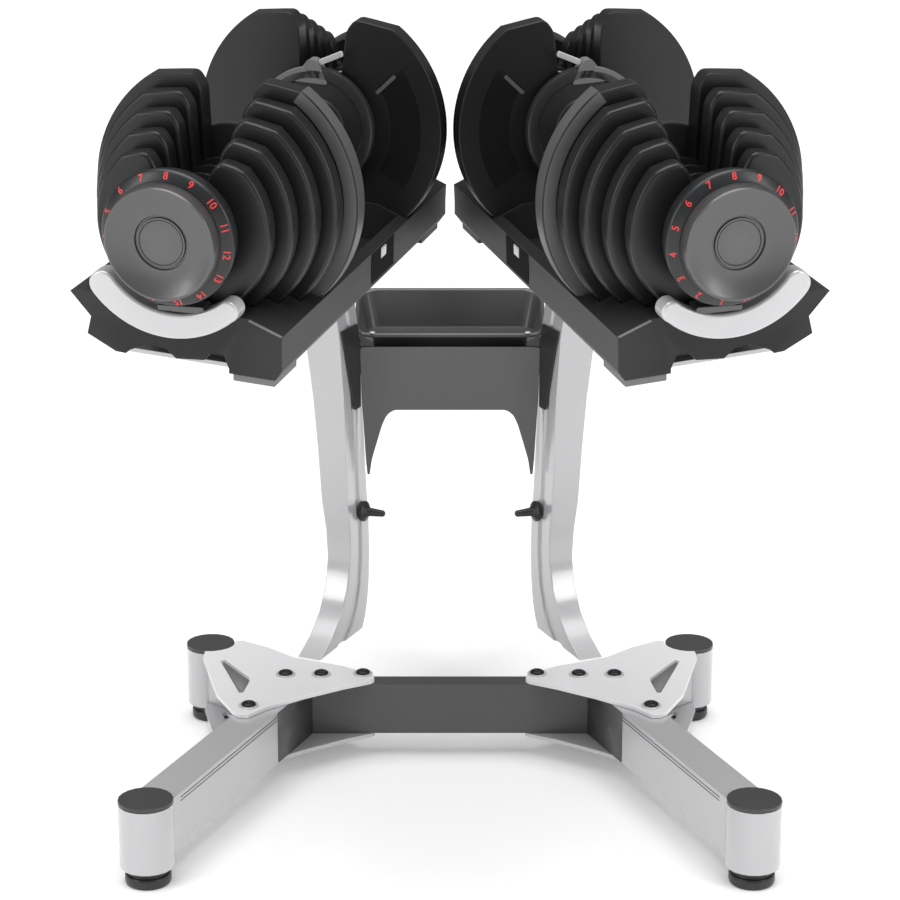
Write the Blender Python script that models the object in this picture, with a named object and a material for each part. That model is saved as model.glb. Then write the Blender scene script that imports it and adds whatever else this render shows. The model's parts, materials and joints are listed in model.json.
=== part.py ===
"""Two adjustable dumbbells, each resting in its own tray, on one floor stand.

Metres, +Z up. The stand is symmetric about x = 0 and its open side faces -Y.
Each dumbbell is built in its own frame: +X across, +Y along the handle, +Z up.
"""
import math
import bpy
import bmesh
from mathutils import Matrix, Vector

# ---- stand: base ----------------------------------------------------------
# Everything is drawn from the front posts, then moved by this much along Y so
# that the origin is under the middle of the whole set.
DEPTH_SHIFT = -0.14945
GAP = 0.0003
SHARP_ANGLE = math.radians(35)
POST_RADIUS = 0.025
POST_WALL = 0.003
FRONT_POST = Vector((-0.273, 0.0))
REAR_POST = Vector((-0.250, 0.388))
FOOT_HEIGHT = 0.017
POST_TOP = 0.0775
CAP_THICKNESS = 0.0042
CAP_PLUG = 0.008
LEG_WIDTH = 0.038
LEG_BOTTOM = 0.0245
LEG_SLOPE = 0.4045
BAR_FRONT = 0.281
BAR_BACK = 0.303
BAR_HALF_LENGTH = 0.188
BAR_WALL = 0.003
PLATE_STEEL = 0.004
STUD_RADIUS = 0.004
STUD_TOP = 0.046

# ---- stand: uprights ------------------------------------------------------
UPRIGHT_YAW = math.radians(22.9)
UPRIGHT_WIDTH = 0.026
UPRIGHT_BASE = Vector((-0.145, 0.338))
UPRIGHT_GROOVE = 0.0022
# (front edge, front height, rear edge, rear height, outward flare) up the post
UPRIGHT_STATIONS = (
    (0.000, 0.0821, 0.104, 0.0821, 0.0),
    (0.030, 0.096, 0.111, 0.093, 0.0),
    (0.052, 0.114, 0.117, 0.108, 0.0),
    (0.068, 0.138, 0.1215, 0.131, 0.0),
    (0.0765, 0.167, 0.1235, 0.162, 0.001),
    (0.0765, 0.197, 0.1225, 0.198, 0.0025),
    (0.0705, 0.230, 0.118, 0.234, 0.004),
    (0.067, 0.289, 0.113, 0.291, 0.006),
    (0.064, 0.3425, 0.108, 0.347, 0.009),
    (0.056, 0.407, 0.100, 0.415, 0.013),
    (0.043, 0.455, 0.087, 0.468, 0.014),
    (0.026, 0.495, 0.072, 0.508, 0.014),
)

# ---- stand: shelf and panel ----------------------------------------------
SHELF_HALF_WIDTH = 0.099
SHELF_FRONT = 0.4385
SHELF_BACK = 0.530
SHELF_BOTTOM = 0.3850
SHELF_FRONT_LIP = 0.3985
SHELF_BACK_LIP = 0.4250
SHELF_WALL = 0.0025
SHELF_TAPER = 0.009
SHELF_CORNER = 0.016
PANEL_FRONT = 0.4250
PANEL_THICKNESS = 0.0025
PANEL_HALF_WIDTH = 0.0926
PANEL_FLANGE_BACK = 0.512
PANEL_FLANGE_HALF_WIDTH = 0.080
PANEL_TOP = 0.3921
PANEL_BOTTOM = 0.2535
PANEL_ARCH_TOP = 0.323
PEG_HEIGHT = 0.2130
PEG_ALONG = 0.103
PEG_HUB_RADIUS = 0.0085
PEG_STEM_RADIUS = 0.0038
PEG_HUB_THICKNESS = 0.005
PEG_STEM_LENGTH = 0.022

# ---- dumbbell frame -------------------------------------------------------
TRAY_ORIGIN = Vector((-0.2115, -0.1645, 0.5304))
TRAY_YAW = math.radians(17.3)
TRAY_TILT = math.radians(5.9)
TRAY_ROLL = math.radians(4.5)
TRAY_LENGTH = 0.4244
TRAY_FOOT = 0.0104
# section of the tray from its outer side to its inner side: (across, height)
TRAY_SECTION = (
    (-0.0540, -0.0010), (0.0430, -0.0045), (0.0800, -0.0045), (0.0855, 0.0040), (0.0850, 0.0160),
    (0.0850, 0.0320), (0.0560, 0.0430), (-0.0880, 0.0460), (-0.0926, 0.0440), (-0.0750, 0.0253),
    (-0.0782, 0.0105),
)
TRAY_ARCH = (
    (-0.0454, -0.0200), (-0.0454, 0.0005), (-0.0257, 0.0095), (-0.0114, 0.0076), (-0.0029, 0.0010),
    (0.0206, 0.0033), (0.0264, 0.0100), (0.0364, 0.0110), (0.0416, -0.0008), (0.0416, -0.0200),
)
TRAY_ARCH_DEPTH = 0.012
TRAY_FLOOR = 0.0125
AXIS_HEIGHT = 0.108
POCKET_CLEARANCE = 0.0008
SUPPORT_HALF_WIDTH = 0.062
SUPPORT_START = 0.035
SUPPORT_TAIL = 0.565
SUPPORT_TAIL_EDGE = -0.114

# ---- plates and selector --------------------------------------------------
PLATE_COUNT = 5
PLATE_FIRST = 0.0035
PLATE_PITCH = 0.0225
PLATE_THICKNESS = 0.0165
PLATE_RADII = (0.0715, 0.0820, 0.0925, 0.1025, 0.1115)
SLOT_RADIUS = 0.0145
ARM_DROP = 0.0170
ARM_PEAK = 0.0300
LUG_INNER = 0.0205
LUG_OUTER = 0.0268
LUG_HALF_WIDTH = 0.004
LUG_REACH = 0.0033
WEB_START = 0.0054
WEB_END = 0.0040
FLANGE_END = 0.0011
FLANGE_INNER = 0.0281
FLANGE_OUTER = 0.0318
TUBE_RADIUS = 0.011
ROD_RADIUS = 0.0075
RING_RADIUS = 0.057
RING_BACK = -0.006
DIAL_STEPS = 15
DIAL_SETTING = 8
PLATE_THRESHOLDS = (13, 10, 7, 5, 2)
GUARD_RADIUS = 0.0535
GUARD_START = 0.1148
GUARD_END = 0.1240
GRIP_RADIUS = 0.0165
GRIP_BULGE = 0.0025
CRESCENT_INNER = 0.0635
CRESCENT_OUTER = 0.081
CRESCENT_OFFSET = (-0.004, -0.003)
CRESCENT_DEPTH = 0.018
CRESCENT_SWEEP = math.radians(50)

for old in list(bpy.data.objects):
    bpy.data.objects.remove(old, do_unlink=True)

parts = bpy.data.collections.new("adjustable_dumbbell_stand")
bpy.context.scene.collection.children.link(parts)


def make_material(name, colour, metallic, roughness):
    made = bpy.data.materials.new(name)
    made.use_nodes = True
    shader = made.node_tree.nodes["Principled BSDF"]
    shader.inputs["Base Color"].default_value = (*colour, 1.0)
    shader.inputs["Metallic"].default_value = metallic
    shader.inputs["Roughness"].default_value = roughness
    return made


SILVER = make_material("silver_paint", (0.72, 0.72, 0.73), 0.3, 0.4)
DARK_PAINT = make_material("dark_paint", (0.07, 0.07, 0.07), 0.2, 0.5)
TRAY_PLASTIC = make_material("tray_plastic", (0.035, 0.035, 0.037), 0.0, 0.45)
PLATE_SHELL = make_material("plate_shell", (0.045, 0.045, 0.047), 0.0, 0.4)
DIAL_GREY = make_material("dial_grey", (0.18, 0.18, 0.18), 0.5, 0.4)
TRIM_SILVER = make_material("trim_silver", (0.75, 0.75, 0.76), 0.2, 0.35)
RUBBER = make_material("black_rubber", (0.02, 0.02, 0.02), 0.0, 0.7)
BLACK = make_material("black_plastic", (0.02, 0.02, 0.02), 0.0, 0.4)
STEEL = make_material("steel", (0.45, 0.45, 0.46), 1.0, 0.3)


def settle(work, name, placement):
    """Move a bmesh into place, make it face outward and store it as a mesh."""
    work.transform(placement)
    bmesh.ops.remove_doubles(work, verts=work.verts, dist=1e-6)
    bmesh.ops.recalc_face_normals(work, faces=work.faces)
    mesh = bpy.data.meshes.new(name)
    work.to_mesh(mesh)
    work.free()
    return mesh


# Placements: an outline (a, b) drawn in the XY plane and pushed along Z is
# turned so that the push runs upward, along the handle, or to the rear.
UPWARD = Matrix.Identity(4)
LENGTHWISE = Matrix(((1, 0, 0, 0), (0, 0, 1, 0), (0, 1, 0, AXIS_HEIGHT), (0, 0, 0, 1)))
REARWARD = Matrix(((1, 0, 0, 0), (0, 0, 1, 0), (0, 1, 0, 0), (0, 0, 0, 1)))


def prism(name, outline, start, end, placement):
    """Solid made by extruding a flat outline from start to end."""
    work = bmesh.new()
    corners = [work.verts.new((a, b, start)) for a, b in outline]
    face = work.faces.new(corners)
    grown = bmesh.ops.extrude_face_region(work, geom=[face])
    moved = [item for item in grown["geom"] if isinstance(item, bmesh.types.BMVert)]
    bmesh.ops.translate(work, verts=moved, vec=(0.0, 0.0, end - start))
    return settle(work, name, placement)


def lathe(name, profile, segments, placement):
    """Solid made by spinning (position, radius) points about the Z axis."""
    work = bmesh.new()
    points = [work.verts.new((radius, 0.0, position)) for position, radius in profile]
    edges = [work.edges.new(pair) for pair in zip(points, points[1:])]
    if profile[0][1] > 0:
        edges.append(work.edges.new((points[-1], points[0])))
    spun = points + edges
    bmesh.ops.rotate(work, verts=points, matrix=Matrix.Rotation(math.pi / segments, 3, "Z"))
    bmesh.ops.spin(work, geom=spun, axis=(0, 0, 1), angle=2 * math.pi, steps=segments)
    bmesh.ops.dissolve_degenerate(work, dist=1e-6, edges=work.edges)
    return settle(work, name, placement)


def loft(name, levels):
    """Solid skinned over a stack of equal loops, closed at both ends."""
    work = bmesh.new()
    loops = [[work.verts.new(point) for point in level] for level in levels]
    count = len(loops[0])
    work.faces.new(loops[0])
    work.faces.new(loops[-1])
    for low, high in zip(loops, loops[1:]):
        for i in range(count):
            j = (i + 1) % count
            work.faces.new((low[i], low[j], high[j], high[i]))
    return settle(work, name, UPWARD)


def combine(name, base, others, operation):
    """One mesh from a base mesh and others joined to it or cut from it."""
    holder = bpy.data.objects.new(name, base)
    bpy.context.scene.collection.objects.link(holder)
    tools = []
    for other in others:
        tool = bpy.data.objects.new(name + "_tool", other)
        bpy.context.scene.collection.objects.link(tool)
        step = holder.modifiers.new("step", "BOOLEAN")
        step.operation = operation
        step.solver = "EXACT"
        step.object = tool
        tools.append(tool)
    bpy.context.view_layer.update()
    graph = bpy.context.evaluated_depsgraph_get()
    result = bpy.data.meshes.new_from_object(holder.evaluated_get(graph))
    result.name = name
    for item in [holder] + tools:
        bpy.data.objects.remove(item, do_unlink=True)
    work = bmesh.new()
    work.from_mesh(result)
    bmesh.ops.remove_doubles(work, verts=work.verts, dist=2e-6)
    bmesh.ops.dissolve_limit(work, angle_limit=0.002, verts=work.verts, edges=work.edges)
    work.to_mesh(result)
    work.free()
    return result


def mirrored(mesh):
    """The same mesh reflected in x = 0, still facing outward."""
    work = bmesh.new()
    work.from_mesh(mesh)
    for vert in work.verts:
        vert.co.x = -vert.co.x
    bmesh.ops.reverse_faces(work, faces=work.faces)
    result = bpy.data.meshes.new(mesh.name + "_mirrored")
    work.to_mesh(result)
    work.free()
    return result


def add_node(name, mesh, look, pivot=None, frame=None):
    """Link one named solid. pivot moves the object's origin onto a joint axis."""
    mesh = mesh.copy()
    mesh.name = name
    mesh.shade_smooth()
    mesh.set_sharp_from_angle(angle=SHARP_ANGLE)
    if pivot is not None:
        mesh.transform(Matrix.Translation(-Vector(pivot)))
    mesh.materials.clear()
    mesh.materials.append(look)
    node = bpy.data.objects.new(name, mesh)
    world = Matrix.Translation((0.0, DEPTH_SHIFT, 0.0))
    if frame:
        world = world @ frame
    if pivot is not None:
        world = world @ Matrix.Translation(Vector(pivot))
    node.matrix_world = world
    parts.objects.link(node)
    return node


def add_pair(name, mesh, look, pivot=None):
    """The left solid as built and its reflection on the right."""
    add_node(name + "_left", mesh, look, pivot)
    other = None if pivot is None else (-pivot[0], pivot[1], pivot[2])
    add_node(name + "_right", mirrored(mesh), look, other)


def box(name, low, high):
    outline = ((low[0], low[1]), (high[0], low[1]), (high[0], high[1]), (low[0], high[1]))
    return prism(name, outline, low[2], high[2], UPWARD)


# ---- base -----------------------------------------------------------------
def leg_mesh(name, post, end_y, slope, half_run):
    """Square leg running from a hollow post to the crossbar."""
    along = Vector((slope, 1.0)).normalized()
    if end_y < post.y:
        along = -along
    side = Vector((along.y, -along.x)) * (LEG_WIDTH / 2)
    start = post + along * 0.006
    middle = post.x + slope * (end_y - post.y)
    outline = [start - side, start + side, (middle + half_run, end_y), (middle - half_run, end_y)]
    if end_y < post.y:
        outline = [start - side, start + side, (middle - half_run, end_y), (middle + half_run, end_y)]
    beam = prism(name + "_beam", outline, LEG_BOTTOM, POST_TOP, UPWARD)
    about = Matrix.Translation((post.x, post.y, 0.0))
    outer = ((FOOT_HEIGHT, 0), (FOOT_HEIGHT, POST_RADIUS), (POST_TOP, POST_RADIUS), (POST_TOP, 0))
    tube = lathe(name + "_tube", outer, 20, about)
    joined = combine(name, beam, [tube], "UNION")
    inner = POST_RADIUS - POST_WALL
    low = FOOT_HEIGHT - 0.01
    high = POST_TOP + 0.01
    hollow = ((low, 0), (low, inner), (high, inner), (high, 0))
    bore = lathe(name + "_bore", hollow, 16, about)
    return combine(name, joined, [bore], "DIFFERENCE")


front_half_run = (LEG_WIDTH / 2) * math.hypot(1.0, LEG_SLOPE)
add_pair("leg_front", leg_mesh("leg_front", FRONT_POST, BAR_FRONT - GAP, LEG_SLOPE, front_half_run), SILVER)
REAR_SLOPE = -1.098
rear_half_run = (LEG_WIDTH / 2) * math.hypot(1.0, REAR_SLOPE)
add_pair("leg_rear", leg_mesh("leg_rear", REAR_POST, BAR_BACK + GAP, REAR_SLOPE, rear_half_run), SILVER)

bar_outer = box("bar", (-BAR_HALF_LENGTH, BAR_FRONT, LEG_BOTTOM), (BAR_HALF_LENGTH, BAR_BACK, POST_TOP))
bar_low = (-BAR_HALF_LENGTH - 0.01, BAR_FRONT + BAR_WALL, LEG_BOTTOM + BAR_WALL)
bar_high = (BAR_HALF_LENGTH + 0.01, BAR_BACK - BAR_WALL, POST_TOP - BAR_WALL)
add_node("crossbar", combine("crossbar", bar_outer, [box("bar_inner", bar_low, bar_high)], "DIFFERENCE"), DARK_PAINT)

for label, post in (("front", FRONT_POST), ("rear", REAR_POST)):
    about = Matrix.Translation((post.x, post.y, 0.0))
    plug = POST_RADIUS - POST_WALL - 3 * GAP
    cap_bottom = POST_TOP + GAP
    cap_top = POST_TOP + CAP_THICKNESS
    cap_profile = (
        (cap_bottom - CAP_PLUG, 0), (cap_bottom - CAP_PLUG, plug), (cap_bottom, plug),
        (cap_bottom, POST_RADIUS), (cap_top, POST_RADIUS), (cap_top, 0),
    )
    add_pair("cap_" + label, lathe("cap_" + label, cap_profile, 20, about), DARK_PAINT)
    foot_profile = (
        (0.0, 0), (0.0, 0.0225), (0.003, 0.0235), (FOOT_HEIGHT - GAP, 0.0235), (FOOT_HEIGHT - GAP, STUD_RADIUS),
        (STUD_TOP, STUD_RADIUS), (STUD_TOP, 0),
    )
    foot = lathe("foot_" + label, foot_profile, 16, about)
    add_pair("foot_" + label, foot, RUBBER, (post.x, post.y, 0.0))


def around_post(start, end, steps):
    """Clearance arc that the gusset plates leave round the rear post."""
    points = []
    for k in range(steps + 1):
        angle = math.radians(start + (end - start) * k / steps)
        points.append((REAR_POST.x + 0.0262 * math.cos(angle), REAR_POST.y + 0.0262 * math.sin(angle)))
    return points


GUSSET_OUTLINE = [
    (-0.254, 0.345), (-0.231, 0.245), (-0.211, 0.200), (-0.205, 0.193), (-0.196, 0.192), (-0.180, 0.212),
    (-0.145, 0.240), (-0.106, 0.266), (-0.080, 0.280), (-0.076, 0.285), (-0.077, 0.296),
    (-0.108, 0.320), (-0.161, 0.345), (-0.189, 0.373), (-0.2175, 0.393),
] + around_post(8, -98, 6)
HOLE_OUTLINE = ((-0.235, 0.334), (-0.231, 0.338), (-0.202, 0.288), (-0.201, 0.280), (-0.205, 0.250), (-0.209, 0.249))


def gusset_mesh(name, bottom):
    plate = prism(name, GUSSET_OUTLINE, bottom, bottom + PLATE_STEEL, UPWARD)
    window = prism(name + "_window", HOLE_OUTLINE, bottom - 0.01, bottom + PLATE_STEEL + 0.01, UPWARD)
    return combine(name, plate, [window], "DIFFERENCE")


add_pair("gusset_top", gusset_mesh("gusset_top", POST_TOP + GAP), SILVER)
add_pair("gusset_bottom", gusset_mesh("gusset_bottom", LEG_BOTTOM - GAP - PLATE_STEEL), SILVER)


# ---- dumbbell frames ------------------------------------------------------
def tray_frame(side):
    """Placement of one dumbbell: side -1 is the left one, +1 the right one."""
    origin = Vector((-side * TRAY_ORIGIN.x, TRAY_ORIGIN.y, TRAY_ORIGIN.z))
    yaw = Matrix.Rotation(side * TRAY_YAW, 4, "Z")
    tilt = Matrix.Rotation(TRAY_TILT, 4, "X")
    roll = Matrix.Rotation(-side * TRAY_ROLL, 4, "Y")
    return Matrix.Translation(origin) @ yaw @ tilt @ roll


LEFT_FRAME = tray_frame(-1)
RIGHT_FRAME = tray_frame(1)


# ---- uprights -------------------------------------------------------------
ALONG = Vector((math.sin(UPRIGHT_YAW), math.cos(UPRIGHT_YAW), 0.0))
ACROSS = Vector((math.cos(UPRIGHT_YAW), -math.sin(UPRIGHT_YAW), 0.0))


def support_height(point):
    """Height of the support plate's underside above a ground point."""
    normal = LEFT_FRAME.to_3x3() @ Vector((0.0, 0.0, 1.0))
    under = LEFT_FRAME @ Vector((0.0, 0.0, -TRAY_FOOT - 2 * GAP - PLATE_STEEL))
    return under.z - ((point.x - under.x) * normal.x + (point.y - under.y) * normal.y) / normal.z


def upright_mesh():
    """Hollow-looking extrusion with a groove along each side, following the stations."""
    half = UPRIGHT_WIDTH / 2
    deep = half - UPRIGHT_GROOVE
    section = (
        (0.0, half), (0.40, half), (0.43, deep), (0.57, deep), (0.60, half), (1.0, half),
        (1.0, -half), (0.60, -half), (0.57, -deep), (0.43, -deep), (0.40, -half), (0.0, -half),
    )
    base = Vector((UPRIGHT_BASE.x, UPRIGHT_BASE.y, 0.0))
    levels = []
    for front, front_z, rear, rear_z, flare in UPRIGHT_STATIONS:
        level = []
        for share, offset in section:
            along = front + (rear - front) * share
            height = front_z + (rear_z - front_z) * share
            outward = offset if offset > 0 else offset - flare
            level.append(base + ALONG * along + ACROSS * outward + Vector((0, 0, height)))
        levels.append(level)
    top = []
    for share, offset in section:
        outward = offset if offset > 0 else offset - UPRIGHT_STATIONS[-1][4]
        point = base + ALONG * (0.008 + 0.046 * share) + ACROSS * outward
        top.append(Vector((point.x, point.y, support_height(point) - GAP)))
    levels.append(top)
    return loft("upright", levels)


add_pair("upright", upright_mesh(), SILVER)

support_outline = (
    (-SUPPORT_HALF_WIDTH, SUPPORT_START), (SUPPORT_HALF_WIDTH, SUPPORT_START),
    (SUPPORT_HALF_WIDTH, 0.385), (-0.042, 0.520), (-0.050, SUPPORT_TAIL),
    (SUPPORT_TAIL_EDGE, SUPPORT_TAIL), (SUPPORT_TAIL_EDGE, 0.480), (-SUPPORT_HALF_WIDTH, 0.410),
)
support_low = -TRAY_FOOT - GAP - PLATE_STEEL
support = prism("tray_support", support_outline, support_low, support_low + PLATE_STEEL, UPWARD)
support.transform(LEFT_FRAME)
add_pair("tray_support", support, SILVER)


# ---- shelf, panel and pegs ------------------------------------------------
def shelf_loop(inset, height):
    """One loop of the dish; height None follows the sloping rim."""
    half = SHELF_HALF_WIDTH - inset
    front = SHELF_FRONT + inset
    back = SHELF_BACK - inset
    spots = [(-half, back)]
    for k in range(4):
        angle = math.radians(30 * k)
        reach = SHELF_CORNER * (1 - math.cos(angle))
        spots.append((-half + reach, front + SHELF_CORNER * (1 - math.sin(angle))))
    spots += [(-x, y) for x, y in reversed(spots)]
    level = []
    for x, y in spots:
        share = (y - SHELF_FRONT) / (SHELF_BACK - SHELF_FRONT)
        rim = SHELF_FRONT_LIP + (SHELF_BACK_LIP - SHELF_FRONT_LIP) * share
        level.append(Vector((x, y, rim if height is None else height)))
    return level


def shelf_mesh():
    """Shallow dish with a higher back edge and rounded front corners."""
    floor = SHELF_BOTTOM + SHELF_WALL
    return loft("shelf_tray", (
        shelf_loop(SHELF_TAPER, SHELF_BOTTOM), shelf_loop(0.0, None),
        shelf_loop(SHELF_WALL, None), shelf_loop(SHELF_TAPER + SHELF_WALL, floor),
    ))


add_node("shelf_tray", shelf_mesh(), DARK_PAINT)

panel_outline = [
    (-PANEL_HALF_WIDTH, PANEL_TOP), (-0.0902, 0.330), (-0.0860, 0.268), (-0.0842, PANEL_BOTTOM),
    (-0.0822, PANEL_BOTTOM), (-0.0805, 0.270), (-0.0700, 0.3075), (-0.0650, 0.3180), (-0.0580, PANEL_ARCH_TOP),
]
panel_outline += [(-x, z) for x, z in reversed(panel_outline)]
panel = prism("panel", panel_outline, PANEL_FRONT, PANEL_FRONT + PANEL_THICKNESS, REARWARD)
flange_top = SHELF_BOTTOM - GAP
flange_low = (-PANEL_FLANGE_HALF_WIDTH, PANEL_FRONT + 0.001, flange_top - PANEL_THICKNESS)
flange_high = (PANEL_FLANGE_HALF_WIDTH, PANEL_FLANGE_BACK, flange_top)
# (along the upright's inner face, height) of the plate that bolts to the upright
SIDE_FLANGE = (
    (0.0566, 0.4160), (0.0960, 0.4160), (0.1030, 0.3900), (0.1030, 0.3390), (0.0985, 0.3390), (0.0650, 0.3934),
)
on_upright = Matrix.Translation(Vector((UPRIGHT_BASE.x, UPRIGHT_BASE.y, 0.0)) + ACROSS * (UPRIGHT_WIDTH / 2 + GAP))
on_upright = on_upright @ Matrix((ALONG, (0, 0, 1), ACROSS)).transposed().to_4x4()
side_flange = prism("side_flange", SIDE_FLANGE, 0.0, 0.0018, on_upright)
extras = [box("flange", flange_low, flange_high), side_flange, mirrored(side_flange)]
panel = combine("panel", panel, extras, "UNION")
add_node("shelf_panel", panel, DARK_PAINT)

peg_face = Vector((UPRIGHT_BASE.x, UPRIGHT_BASE.y, PEG_HEIGHT)) + ALONG * PEG_ALONG
peg_start = peg_face + ACROSS * (UPRIGHT_WIDTH / 2 + GAP)


across_placement = Matrix.Translation(peg_start) @ Matrix((ALONG, (0, 0, 1), ACROSS)).transposed().to_4x4()

peg_profile = (
    (0.0, 0), (0.0, PEG_HUB_RADIUS), (PEG_HUB_THICKNESS - 0.001, PEG_HUB_RADIUS),
    (PEG_HUB_THICKNESS, PEG_HUB_RADIUS - 0.001), (PEG_HUB_THICKNESS, PEG_STEM_RADIUS),
    (PEG_STEM_LENGTH, PEG_STEM_RADIUS), (PEG_STEM_LENGTH + 0.001, PEG_STEM_RADIUS - 0.001),
    (PEG_STEM_LENGTH + 0.001, 0),
)
add_pair("side_peg", lathe("side_peg", peg_profile, 16, across_placement), BLACK, peg_start)


# ---- dumbbell trays -------------------------------------------------------
def plate_span(index):
    start = PLATE_FIRST + PLATE_PITCH * index
    extra = 0.001 if index == PLATE_COUNT - 1 else 0.0
    return start, start + PLATE_THICKNESS + extra


def round_with_flat(radius, flat, steps, start=-180.0, end=0.0):
    """Lower half outline of a disc, never lower than the flat."""
    points = []
    for k in range(steps + 1):
        angle = math.radians(start + (end - start) * k / steps)
        points.append((radius * math.cos(angle), max(radius * math.sin(angle), flat)))
    return points


def mirror_length(mesh):
    """The same solid at the other end of the tray, turned end for end."""
    turned = mesh.copy()
    turned.transform(Matrix.Translation((0, TRAY_LENGTH, 0)) @ Matrix.Rotation(math.pi, 4, "Z"))
    return turned


def tray_mesh():
    """Tray with a pocket for each plate, an end opening and a well under the grip."""
    hull = prism("tray", [(a, b - AXIS_HEIGHT) for a, b in TRAY_SECTION], 0.0, TRAY_LENGTH, LENGTHWISE)
    feet = []
    for start, end in ((0.002, 0.050), (TRAY_LENGTH - 0.050, TRAY_LENGTH - 0.002)):
        feet.append(box("foot", (0.0450, start, -TRAY_FOOT), (0.0790, end, 0.002)))
    for start in (0.100, TRAY_LENGTH - 0.130):
        feet.append(box("boss", (-0.066, start, -TRAY_FOOT), (-0.046, start + 0.030, 0.008)))
    hull = combine("tray", hull, feet, "UNION")
    cuts = []
    flat = TRAY_FLOOR - AXIS_HEIGHT
    for index in range(PLATE_COUNT):
        start, end = plate_span(index)
        radius = PLATE_RADII[index] + POCKET_CLEARANCE
        outline = round_with_flat(radius, flat - POCKET_CLEARANCE, 24)
        pocket = prism("pocket", outline, start - POCKET_CLEARANCE, end + POCKET_CLEARANCE, LENGTHWISE)
        cuts.append(pocket)
        cuts.append(mirror_length(pocket))
    mouth = prism("mouth", round_with_flat(0.0628, -1.0, 16), -0.01, PLATE_FIRST, LENGTHWISE)
    cuts.append(mouth)
    cuts.append(mirror_length(mouth))
    well = ((-0.066, 0.0125), (0.072, 0.0095), (0.079, 0.060), (-0.083, 0.060))
    well_start = plate_span(PLATE_COUNT - 1)[1] + 0.004
    well_outline = [(a, b - AXIS_HEIGHT) for a, b in well]
    cuts.append(prism("well", well_outline, well_start, TRAY_LENGTH - well_start, LENGTHWISE))
    arch_outline = [(a, b - AXIS_HEIGHT) for a, b in TRAY_ARCH]
    for start in (-0.01, TRAY_LENGTH - TRAY_ARCH_DEPTH):
        cuts.append(prism("arch", arch_outline, start, start + TRAY_ARCH_DEPTH + 0.01, LENGTHWISE))
    return combine("tray", hull, cuts, "DIFFERENCE")


tray = tray_mesh()


def arc(radius, from_angle, to_angle, steps, centre=(0.0, 0.0)):
    """Points along an arc, both ends included."""
    points = []
    for k in range(steps + 1):
        angle = from_angle + (to_angle - from_angle) * k / steps
        points.append((centre[0] + radius * math.cos(angle), centre[1] + radius * math.sin(angle)))
    return points


def ring_sector(name, inner, outer, start, end, from_angle, to_angle, steps):
    """Part of a ring about the handle axis."""
    outline = arc(outer, from_angle, to_angle, steps) + arc(inner, to_angle, from_angle, steps)
    return prism(name, outline, start, end, LENGTHWISE)


straight_down = -math.pi / 2


def rounded_end(first, last):
    """Points of the half circle that runs from first to last, ends left out."""
    centre = ((first[0] + last[0]) / 2, (first[1] + last[1]) / 2)
    radius = math.hypot(first[0] - last[0], first[1] - last[1]) / 2
    begin = math.atan2(first[1] - centre[1], first[0] - centre[0])
    return arc(radius, begin, begin + math.pi, 6, centre)[1:-1]


def crescent_mesh():
    """Moulded trim under the dial, a little wider towards its outer end."""
    low = straight_down - CRESCENT_SWEEP
    high = straight_down + CRESCENT_SWEEP
    outer = arc(CRESCENT_OUTER, low, high, 20, CRESCENT_OFFSET)
    inner = arc(CRESCENT_INNER, high, low, 20)
    outline = outer + rounded_end(outer[-1], inner[0]) + inner + rounded_end(inner[-1], outer[0])
    return prism("crescent", outline, -CRESCENT_DEPTH, -GAP, LENGTHWISE)


crescent = crescent_mesh()


# ---- plates ---------------------------------------------------------------
def plate_mesh(index):
    """Round plate with a flat foot and a slot open at the top for the handle."""
    radius = PLATE_RADII[index]
    flat = TRAY_FLOOR - AXIS_HEIGHT
    start, end = plate_span(index)
    peak = radius - ARM_DROP
    arm = math.degrees(math.acos((peak - 0.0035) / radius))
    outline = []
    steps = 22
    for k in range(steps + 1):
        angle = math.radians(90 + arm + (360 - 2 * arm) * k / steps)
        outline.append((radius * math.cos(angle), max(radius * math.sin(angle), flat)))
    right = [(ARM_PEAK + 0.009, peak - 0.0002), (ARM_PEAK + 0.002, peak), (ARM_PEAK - 0.004, peak - 0.0030)]
    right += [(ARM_PEAK - 0.0085, peak - 0.0105), (SLOT_RADIUS + 0.0025, 0.024)]
    for k in range(4):
        angle = math.radians(-90 * k / 3)
        right.append((SLOT_RADIUS * math.cos(angle), SLOT_RADIUS * math.sin(angle)))
    slot = right + [(-a, b) for a, b in reversed(right[:-1])]
    body = prism("plate", outline + slot, start, end, LENGTHWISE)
    lug_outline = (
        (-LUG_HALF_WIDTH, -LUG_INNER), (LUG_HALF_WIDTH, -LUG_INNER),
        (LUG_HALF_WIDTH, -LUG_OUTER + 0.0004), (-LUG_HALF_WIDTH, -LUG_OUTER + 0.0004),
    )
    lug = prism("lug", lug_outline, start - LUG_REACH, start + 0.002, LENGTHWISE)
    return combine("plate", body, [lug], "UNION")


plates = [plate_mesh(index) for index in range(PLATE_COUNT)]


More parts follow.
